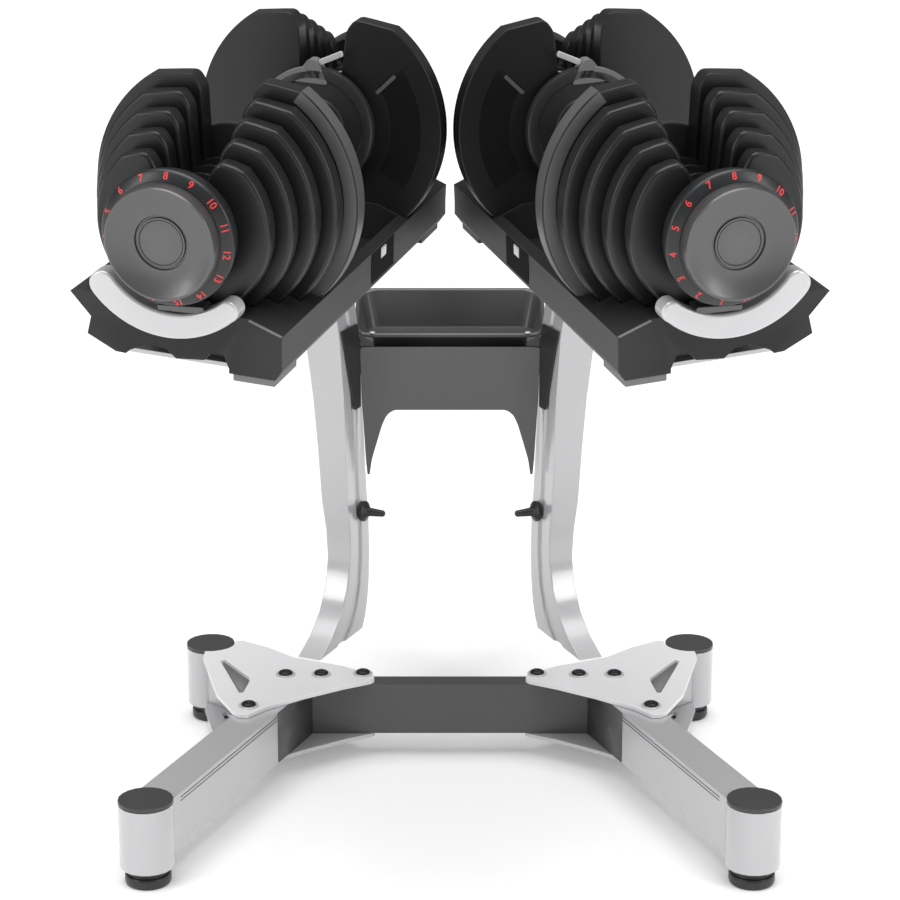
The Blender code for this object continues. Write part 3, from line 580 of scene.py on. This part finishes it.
TUBE_BORE = 0.0078
TUBE_END = GUARD_START - 0.0008
TUBE_PROFILE = [
    (-0.0100, 0.0), (-0.0100, TUBE_RADIUS), (TUBE_END, TUBE_RADIUS), (TUBE_END, TUBE_BORE),
    (TUBE_END - 0.0092, TUBE_BORE), (TUBE_END - 0.0092, 0.0),
]
WEB_RADIUS = 0.0318
FLANGE_INNER = 0.0281
FLANGE_OUTER = 0.0312

hub_place, hub_radius = HUB_PROFILE[-1]
dial_profile = list(HUB_PROFILE)
for k in range(1, FACE_STEPS + 1):
    share = k / FACE_STEPS
    dial_profile.append((hub_place - FACE_RISE * share ** 1.6, hub_radius + FACE_WIDTH * share))
dial_profile += DIAL_RIM_PROFILE
at_both_ends("dial_face_[end]_{}", turned("dial", dial_profile), DIAL, "dial_[end]_{}",
             stands_for="dial_[end]_{}", slot="dial_grey")

selector_parts = [turned("tube", TUBE_PROFILE, 48)]
for index in range(PLATE_COUNT):
    start = plate_start(index)
    if index:
        web = [(start - 0.0054, 0.0), (start - 0.0054, WEB_RADIUS), (start - 0.0040, WEB_RADIUS),
               (start - 0.0040, 0.0)]
        selector_parts.append(turned("web", web, 64))
    low = STRAIGHT_DOWN + (PLATE_THRESHOLDS[index] - 0.5 - DIAL_SETTING) * DIAL_TURN
    high = STRAIGHT_DOWN + (DIAL_STEPS + 0.4 - DIAL_SETTING) * DIAL_TURN
    back = start - 0.0046 if index else -0.007
    selector_parts.append(
        arc_sector("flange", FLANGE_INNER, FLANGE_OUTER, low, high, back, start - 0.0011))
at_both_ends("number_ring_[end]_{}", turned("ring", RING_PROFILE), RING, "dial_[end]_{}",
             slot="dial_grey")
at_both_ends("selector_[end]_{}", joined("selector", selector_parts), STEEL, "dial_[end]_{}",
             slot="steel")

NUMBER_HEIGHT = 0.0080
NUMBER_TILT = math.radians(25.0)
NUMBER_RADIUS = 0.0497
NUMBER_FACE = -0.0270


def numeral_mesh(text, height):
    """Raised plain digits as a mesh, centred on the origin in the XY plane."""
    curve = bpy.data.curves.new("digits", "FONT")
    curve.body = text
    curve.size = height
    curve.extrude = 0.00012
    curve.offset = 0.00016
    curve.align_x = "CENTER"
    curve.align_y = "CENTER"
    holder = bpy.data.objects.new("digits", curve)
    bpy.context.scene.collection.objects.link(holder)
    mesh = evaluated_mesh(holder)
    bpy.data.objects.remove(holder, do_unlink=True)
    return mesh


def number_ring(side_sign, end):
    """Numbers 1 to 15 round the sloping face of the ring, readable from outside."""
    base = LEFT_FRAME if side_sign > 0 else FLIP @ LEFT_FRAME @ FLIP
    if end == "rear":
        base = base @ END_FOR_END
    centre = Matrix.Translation((0.0, NUMBER_FACE, AXIS))
    out = Matrix.Translation((0.0, 0.0, NUMBER_RADIUS))
    lean = Matrix.Rotation(-NUMBER_TILT, 4, "X")
    # The text's plane XY becomes X across and Z up, facing -Y of the dumbbell.
    stand_up = Matrix.Rotation(math.pi / 2, 4, "X")
    meshes = []
    for number in range(1, DIAL_STEPS + 1):
        spin = Matrix.Rotation(DIAL_TURN * (number - DIAL_SETTING), 4, "Y")
        mesh = numeral_mesh(str(number), NUMBER_HEIGHT)
        mesh.transform(base @ centre @ spin @ out @ lean @ stand_up)
        meshes.append(mesh)
    return joined("numbers", meshes)


for side, sign in SIDES:
    for end in ("front", "rear"):
        place("dial_numbers_" + end + "_" + side, number_ring(sign, end), RED, "dial_" + end + "_" + side)


# ---- handle and grip ------------------------------------------------------
HALF_HANDLE = [
    (-0.0270, 0.0), (-0.0270, ROD_RADIUS), (GUARD_START, ROD_RADIUS), (GUARD_START, GUARD_RADIUS - 0.003),
    (GUARD_START + 0.0009, GUARD_RADIUS - 0.0009), (GUARD_START + 0.003, GUARD_RADIUS),
    (GUARD_END - 0.003, GUARD_RADIUS), (GUARD_END - 0.0009, GUARD_RADIUS - 0.0009),
    (GUARD_END, GUARD_RADIUS - 0.003), (GUARD_END, 0.0440), (GUARD_END - 0.0012, 0.0425),
    (GUARD_END - 0.0012, 0.0270), (GUARD_END, 0.0255), (GUARD_END, ROD_RADIUS),
]
COLLAR_RADIUS = GRIP_RADIUS + 0.002
GRIP_BORE = ROD_RADIUS + 0.0003
GRIP_START = GUARD_END + GAP
GRIP_END = LENGTH - GRIP_START
RIB_COUNT = 34
RIB_MARGIN = 0.010
RIB_DEPTH = 0.0006
GRIP_SWELL = 0.0025

far_half = [(LENGTH - position, radius) for position, radius in reversed(HALF_HANDLE)]
on_both_sides("handle_{}_bar", turned("handle", HALF_HANDLE + far_half), BLACK, "handle_{}",
              stands_for="handle_{}", slot="steel")

grip_profile = [
    (GRIP_START, GRIP_BORE), (GRIP_START, COLLAR_RADIUS), (GRIP_START + 0.004, COLLAR_RADIUS),
    (GRIP_START + 0.006, GRIP_RADIUS),
]
rib_length = (GRIP_END - GRIP_START - 2 * RIB_MARGIN) / RIB_COUNT
for k in range(RIB_COUNT):
    swell = GRIP_RADIUS + GRIP_SWELL * math.sin(math.pi * (k + 0.5) / RIB_COUNT)
    at = GRIP_START + RIB_MARGIN + rib_length * k
    for share, radius in ((0.15, swell - RIB_DEPTH), (0.35, swell), (0.70, swell), (0.90, swell - RIB_DEPTH)):
        grip_profile.append((at + rib_length * share, radius))
grip_profile += [
    (GRIP_END - 0.006, GRIP_RADIUS), (GRIP_END - 0.004, COLLAR_RADIUS), (GRIP_END, COLLAR_RADIUS),
    (GRIP_END, GRIP_BORE),
]
on_both_sides("grip_{}_sleeve", turned("grip", grip_profile, 64), RUBBER, "handle_{}",
              stands_for="grip_{}", slot="rubber")

# Grey stop, raised lip painted pale along the rim as a highlight, and pale lock tab on the rear guard.
FAR_GUARD = LENGTH - GUARD_END
STOP_OUTLINE = (
    (-0.0215, 0.0390), (0.0115, 0.0390), (0.0065, 0.0490), (-0.0005, 0.0600), (-0.0075, 0.0600),
    (-0.0165, 0.0475),
)
TAB_OUTLINE = ((0.0030, 0.0550), (0.0235, 0.0652), (0.0214, 0.0698), (0.0010, 0.0596))
RIM_HIGHLIGHT_INNER = 0.0495
RIM_HIGHLIGHT_OUTER = 0.0541

guard_stop = slab("stop", rounded(STOP_OUTLINE, 0.004), FAR_GUARD, LENGTH - GUARD_START + 0.002)
on_both_sides("guard_stop_{}", guard_stop, PALE_PARTS_AND_PAINTED_LIGHT, "handle_{}", bevel=0.0015, slot="steel")
lip = arc_sector("lip", RIM_HIGHLIGHT_INNER, RIM_HIGHLIGHT_OUTER, math.radians(100), math.radians(158),
                 FAR_GUARD - 0.0006, FAR_GUARD + 0.0030)
on_both_sides("guard_lip_{}", lip, PALE_PARTS_AND_PAINTED_LIGHT, "handle_{}", bevel=0.0006, segments=2, slot="steel")
tab = slab("tab", rounded(TAB_OUTLINE, 0.0018), FAR_GUARD + 0.002, FAR_GUARD + 0.006)
on_both_sides("guard_tab_{}", tab, TRIM, "handle_{}", bevel=0.0006, slot="steel")


# ---- tray details ---------------------------------------------------------
# Outlines are (across, height above the tray's base line).
LEDGE = ((-0.012, 0.0455), (0.028, 0.0470), (0.026, 0.0535), (-0.012, 0.0500))
WALL_HIGHLIGHT = ((0.0570, 0.0412), (0.0842, 0.0316), (0.0848, 0.0328), (0.0576, 0.0426))
LATCH_SHADE_OUTLINE = ((0.0845, 0.0040), (0.0858, 0.0045), (0.0854, 0.0315), (0.0845, 0.0315))
LATCH = rectangle(0.0785, 0.0205, 0.0862, 0.0300)
FOOT_STRIP = rectangle(0.0448, -0.0103, 0.0792, -0.0040)

ledge = slab("ledge", rounded(from_tray_base(LEDGE), 0.002), -0.0160, -0.0004)
at_both_ends("pointer_ledge_[end]_{}", ledge, DIAL, "stand", bevel=0.0008, slot="dial_grey")
# Pale strip along the top edge of the tray's near wall: a painted highlight.
rib = slab("rib", rounded(from_tray_base(WALL_HIGHLIGHT), 0.0005), -0.0006, 0.0014)
at_both_ends("tray_rib_[end]_{}", rib, PALE_PARTS_AND_PAINTED_LIGHT, "stand", bevel=0.0003, segments=1, slot="tray_plastic")
# Near-black strip on the inner wall round the latch slot: painted shade.
surround = slab("surround", from_tray_base(LATCH_SHADE_OUTLINE), 0.2130, 0.2720)
on_both_sides("tray_latch_surround_{}", surround, PAINTED_SHADE, "stand", bevel=0.0003, segments=1,
              slot="tray_plastic")
latch = slab("latch", rounded(from_tray_base(LATCH), 0.001), 0.2365, 0.2490)
on_both_sides("tray_latch_{}", latch, TRIM, "stand", bevel=0.0004, segments=1, slot="tray_plastic")
strip = slab("strip", rounded(from_tray_base(FOOT_STRIP), 0.001), 0.0008, 0.0490)
at_both_ends("tray_foot_strip_[end]_{}", strip, PALE_PARTS_AND_PAINTED_LIGHT, "stand", bevel=0.0005, slot="rubber")


# ---- stand hardware -------------------------------------------------------
GUSSET_TOP = 0.0821
BOLT_SPOTS = ((-0.197, 0.215), (-0.166, 0.297), (-0.130, 0.297), (-0.088, 0.299))
BOLT_RADIUS = 0.0072
BOLT_HEIGHT = 0.0030
BOLT_RIM = 0.0006
SOCKET_RADIUS = 0.0028
SOCKET_FLOOR = 0.0012
WASHER = 0.0010
WASHER_RADIUS = 0.0098
WASHER_PROFILE = [
    (0.0, 0.0), (0.0, WASHER_RADIUS), (WASHER * 0.6, WASHER_RADIUS), (WASHER, WASHER_RADIUS - 0.0004),
    (WASHER, 0.0),
]
# Dark end plates on the inner faces of the front legs, next to the crossbar.
LEG_END_OUTLINE = ((-0.1685, 0.2076), (-0.1392, 0.2800), (-0.1385, 0.2800), (-0.1678, 0.2076))
# Rolled seam along the upper inner edge of each front leg, drawn as two grey strips of painted shadow.
LEG_SEAM_SHADOW_OUTLINE = ((-0.2440, 0.0210), (-0.1685, 0.2076), (-0.1681, 0.2076), (-0.2436, 0.0210))
LEG_SEAM_SHADOW_HEIGHT = 0.0007
# Grey inside seen through the window of the upper gusset: a grey sheet of painted shade.
WINDOW_SHADE_OUTLINE = (
    (-0.2345, 0.3325), (-0.2312, 0.3365), (-0.2026, 0.2878), (-0.2018, 0.2800), (-0.2056, 0.2510),
    (-0.2088, 0.2502),
)


def bolt_mesh():
    """Low button head, pointing up."""
    profile = [(0.0, 0.0), (0.0, BOLT_RADIUS), (BOLT_RIM, BOLT_RADIUS)]
    for k in range(1, 8):
        angle = math.radians(90 * k / 7)
        height = BOLT_RIM + (BOLT_HEIGHT - BOLT_RIM) * math.sin(angle)
        profile.append((height, BOLT_RADIUS * (0.45 + 0.55 * math.cos(angle))))
    return turned("bolt", profile + [(BOLT_HEIGHT, 0.0)], 40, UNTURNED)


bolt_source = bpy.data.objects.new("bolt_source", bolt_mesh())
bpy.context.scene.collection.objects.link(bolt_source)
socket_outline = arc(SOCKET_RADIUS, 0.0, 2 * math.pi, 6)[:-1]
cut(bolt_source, slab("socket", socket_outline, SOCKET_FLOOR, 0.0100, UNTURNED))
bolt = bolt_source.data.copy()
bpy.data.objects.remove(bolt_source, do_unlink=True)
washer = turned("washer", WASHER_PROFILE, 40, UNTURNED)
for number, (x, y) in enumerate(BOLT_SPOTS):
    label = str(number + 1) + "_{}"
    for name, mesh, look, rise in (
            ("gusset_bolt_", bolt, ZINC, WASHER), ("gusset_washer_", washer, TRIM, 0.0)):
        copy = mesh.copy()
        copy.transform(Matrix.Translation((x, y + SHIFT, GUSSET_TOP + rise)))
        on_both_sides(name + label, copy, look, "stand", in_frame=False)

leg_end = slab("leg_end", on_stand(LEG_END_OUTLINE), 0.0250, 0.0770, UNTURNED)
on_both_sides("leg_end_plate_{}", leg_end, DARK_PAINT, "stand", in_frame=False)
# Two thin grey strips, painted shadow lines of the rolled seam.
for number, low in enumerate((0.0728, 0.0694)):
    seam = slab("seam", on_stand(LEG_SEAM_SHADOW_OUTLINE), low, low + LEG_SEAM_SHADOW_HEIGHT, UNTURNED)
    on_both_sides("leg_seam_" + str(number + 1) + "_{}", seam, PALE_PARTS_AND_PAINTED_LIGHT, "stand", in_frame=False)
# Grey sheet in the window, painted shade.
window = slab("window", on_stand(WINDOW_SHADE_OUTLINE), 0.0779, 0.0792, UNTURNED)
on_both_sides("gusset_window_{}", window, PALE_PARTS_AND_PAINTED_LIGHT, "stand", in_frame=False)


# ---- levelling feet -------------------------------------------------------
FOOT_SPOTS = (("front", -0.273, 0.0), ("rear", -0.250, 0.388))
FOOT_PROFILE = (
    (0.0, 0.0), (0.0, 0.0190), (0.0012, 0.0204), (0.0030, 0.0210), (0.0085, 0.0210),
    (0.0100, 0.0202), (0.0106, 0.0186), (0.0120, 0.0180), (0.0166, 0.0180), (0.0166, 0.0),
)
for end, x, y in FOOT_SPOTS:
    foot = turned("foot", FOOT_PROFILE, 64, Matrix.Translation((x, y + SHIFT, 0.0)))
    node = "foot_" + end + "_{}"
    on_both_sides(node + "_pad", foot, BLACK, node, in_frame=False, stands_for=node)


# ---- shelf ----------------------------------------------------------------
SHELF_FRONT = 0.4385
SHELF_BACK = 0.530
SHELF_HALF = 0.099
SHELF_FLOOR = 0.3850
SHELF_LOW_LIP = 0.4003
SHELF_HIGH_LIP = 0.4262
SHELF_BOW = 0.0080
SHELF_CORNER = 0.018
# (inset, depth under the lip) round the rolled lip, from outside to inside.
LIP_ROLL = (
    (0.0030, 0.0055), (0.0008, 0.0042), (0.0, 0.0030), (0.0, 0.0016), (0.0008, 0.0005),
    (0.0020, 0.0), (0.0034, 0.0004), (0.0044, 0.0014), (0.0050, 0.0030),
)


def shelf_level(inset, drop=0.0, floor=None):
    """Rounded top-view loop of the dish, at drop under the sloping lip or at a floor height."""
    half = SHELF_HALF - inset
    loop = []
    for x, y in rounded(rectangle(-half, SHELF_FRONT + inset, half, SHELF_BACK - inset), SHELF_CORNER, 9):
        share = (y - SHELF_FRONT) / (SHELF_BACK - SHELF_FRONT)
        bow = SHELF_BOW * share * (1.0 - (x / SHELF_HALF) ** 2)
        edge = SHELF_LOW_LIP + (SHELF_HIGH_LIP - SHELF_LOW_LIP) * share + bow - drop
        loop.append((x, y + SHIFT, edge if floor is None else floor))
    return loop


shelf_levels = [shelf_level(0.010, floor=SHELF_FLOOR), shelf_level(0.0085, floor=SHELF_FLOOR + 0.0010)]
shelf_levels += [shelf_level(inset, drop) for inset, drop in LIP_ROLL]
shelf_levels += [shelf_level(0.0110, floor=SHELF_FLOOR + 0.0036),
                 shelf_level(0.0130, floor=SHELF_FLOOR + 0.0026)]
place("shelf_dish", skinned("shelf", shelf_levels), SHELF, "stand", stands_for="shelf_tray")

# ---- panel under the shelf, and what holds it -----------------------------
PANEL_FRONT = 0.4250
PANEL_THICKNESS = 0.0025
# (x, height) down the outer edge and up the inner edge of the left leg.
PANEL_HALF = (
    (-0.0928, 0.3900), (-0.0906, 0.330), (-0.0872, 0.268), (-0.0858, 0.2535), (-0.0834, 0.2535),
    (-0.0810, 0.270), (-0.0700, 0.3075), (-0.0650, 0.3180), (-0.0580, 0.323),
)
# (along the upright's inner face, height)
SIDE_FLANGE = (
    (0.0566, 0.4160), (0.0960, 0.4160), (0.1015, 0.3950), (0.1015, 0.3265), (0.0860, 0.3265),
    (0.0650, 0.3934),
)
FLANGE_HALF = 0.080
FLANGE_BACK = 0.512
# Black sheets behind the panel's top corners: painted shade in the gaps under the dish's corners.
CORNER_SHADE_OUTLINE = (
    (-0.0925, 0.3880), (-0.0770, 0.3880), (-0.0790, 0.3950), (-0.0860, 0.3985), (-0.0925, 0.4060),
)
# Small silver domes at the front corners of the lip: painted highlights for the glints there.
GLINT_SPOT = Vector((-0.0800, 0.4415 + SHIFT, 0.4010))
GLINT_PROFILE = [(0.0, 0.0), (0.0, 0.0032), (0.0008, 0.0030), (0.0015, 0.0018), (0.0018, 0.0)]

panel_outline = list(PANEL_HALF) + [(-x, z) for x, z in reversed(PANEL_HALF)]
panel = slab("panel", rounded(panel_outline, 0.005), PANEL_FRONT, PANEL_FRONT + PANEL_THICKNESS, REARWARD)
place("shelf_panel_plate", panel, SHELF, "stand", bevel=0.0007, segments=2, stands_for="shelf_panel")

on_upright = (
    Matrix.Translation(UPRIGHT_BASE + ACROSS * UPRIGHT_FACE)
    @ Matrix((ALONG, (0, 0, 1), ACROSS)).transposed().to_4x4()
)
# Black strip on the upright's inner face beside the panel: a side flange painted black as its shade.
bracket = slab("bracket", rounded(SIDE_FLANGE, 0.003), 0.0, 0.0018, on_upright)
on_both_sides("shelf_bracket_{}", bracket, BLACK, "stand", in_frame=False, bevel=0.0004, segments=2)
flange_outline = on_stand(rectangle(-FLANGE_HALF, 0.4274, FLANGE_HALF, FLANGE_BACK))
shelf_flange = slab("flange", flange_outline, 0.3822, 0.3847, UNTURNED)
place("shelf_flange", shelf_flange, SHELF, "stand", bevel=0.0005, segments=2)
# Painted shade behind the panel's top corners.
corner = slab("corner", CORNER_SHADE_OUTLINE, PANEL_FRONT + 0.0027, PANEL_FRONT + 0.0040, REARWARD)
on_both_sides("shelf_corner_{}", corner, BLACK, "stand", in_frame=False, bevel=0.0003, segments=1)
# Silver domes at the lip's front corners, painted highlights.
stud = turned("stud", GLINT_PROFILE, 32, Matrix.Translation(GLINT_SPOT))
on_both_sides("shelf_stud_{}", stud, TRIM, "stand", in_frame=False)

# ---- side pegs ------------------------------------------------------------
PEG_ALONG = 0.1030
PEG_HEIGHT = 0.2130
PEG_PROFILE = (
    (0.0003, 0.0), (0.0003, 0.0098), (0.0016, 0.0108), (0.0046, 0.0108), (0.0060, 0.0096),
    (0.0074, 0.0062), (0.0096, 0.0046), (0.0250, 0.0034), (0.0268, 0.0022), (0.0272, 0.0),
)
peg_start = UPRIGHT_BASE + ALONG * PEG_ALONG + ACROSS * UPRIGHT_FACE + Vector((0.0, 0.0, PEG_HEIGHT))
peg_place = Matrix.Translation(peg_start) @ ACROSS.to_track_quat("Z", "X").to_matrix().to_4x4()
on_both_sides("side_peg_{}_knob", turned("peg", PEG_PROFILE, 48, peg_place), BLACK, "side_peg_{}",
              in_frame=False, stands_for="side_peg_{}")

# ---- floor, light and camera ----------------------------------------------
WHITE = (1.0, 1.0, 1.0, 1.0)
FLOOR_SIZE = 30.0
FLOOR_SHADE = (0.93, 0.93, 0.93, 1.0)
FLOOR_GLOW = 0.12
WORLD_STRENGTH = 0.20
SOFTBOX_SPOTS = (("left_softbox", (-2.4, -1.6, 1.5)), ("right_softbox", (2.4, -1.6, 1.5)))
SOFTBOX_TARGET = Vector((0.0, 0.0, 0.45))
SOFTBOX_WIDTH = 0.45
SOFTBOX_HEIGHT = 1.8
SOFTBOX_POWER = 22.0
SOFTBOX_DIFFUSE = 0.45
SUN_STRENGTH = 3.0
SUN_WIDTH = math.radians(60.0)
SUN_LEAN = math.radians(10.0)
CAMERA_SPOT = (0.0, -2.0567 + SHIFT, 1.025)
CAMERA_DOWN = math.radians(16.707)
CAMERA_LENS = 100.0

floor_mesh = bpy.data.meshes.new("floor")
floor_work = bmesh.new()
bmesh.ops.create_grid(floor_work, x_segments=1, y_segments=1, size=FLOOR_SIZE)
floor_work.to_mesh(floor_mesh)
floor_work.free()
floor = bpy.data.objects.new("floor", floor_mesh)
bpy.context.scene.collection.objects.link(floor)
floor_look = bpy.data.materials.new("pale_floor")
floor_look.use_nodes = True
floor_shader = floor_look.node_tree.nodes["Principled BSDF"]
floor_shader.inputs["Base Color"].default_value = FLOOR_SHADE
floor_shader.inputs["Emission Color"].default_value = WHITE
floor_shader.inputs["Emission Strength"].default_value = FLOOR_GLOW
floor_shader.inputs["Roughness"].default_value = 0.9
floor_shader.inputs["Specular IOR Level"].default_value = 0.1
floor_mesh.materials.append(floor_look)

world = bpy.data.worlds.new("studio")
world.use_nodes = True
world.node_tree.nodes["Background"].inputs["Color"].default_value = WHITE
world.node_tree.nodes["Background"].inputs["Strength"].default_value = WORLD_STRENGTH
bpy.context.scene.world = world

for name, spot in SOFTBOX_SPOTS:
    lamp = bpy.data.lights.new(name, "AREA")
    lamp.shape = "RECTANGLE"
    lamp.size = SOFTBOX_WIDTH
    lamp.size_y = SOFTBOX_HEIGHT
    lamp.energy = SOFTBOX_POWER
    lamp.diffuse_factor = SOFTBOX_DIFFUSE
    softbox = bpy.data.objects.new(name, lamp)
    softbox.location = spot
    softbox.rotation_euler = (SOFTBOX_TARGET - Vector(spot)).to_track_quat("-Z", "Y").to_euler()
    bpy.context.scene.collection.objects.link(softbox)

sun = bpy.data.lights.new("broad_sun", "SUN")
sun.energy = SUN_STRENGTH
sun.angle = SUN_WIDTH
sun_item = bpy.data.objects.new("broad_sun", sun)
sun_item.rotation_euler = (SUN_LEAN, 0.0, 0.0)
bpy.context.scene.collection.objects.link(sun_item)

camera_data = bpy.data.cameras.new("camera")
camera_data.lens = CAMERA_LENS
camera_data.sensor_width = 36.0
camera = bpy.data.objects.new("camera", camera_data)
camera.location = CAMERA_SPOT
camera.rotation_euler = (math.pi / 2 - CAMERA_DOWN, 0.0, 0.0)
bpy.context.scene.collection.objects.link(camera)
bpy.context.scene.camera = camera
bpy.context.scene.view_settings.view_transform = "Standard"
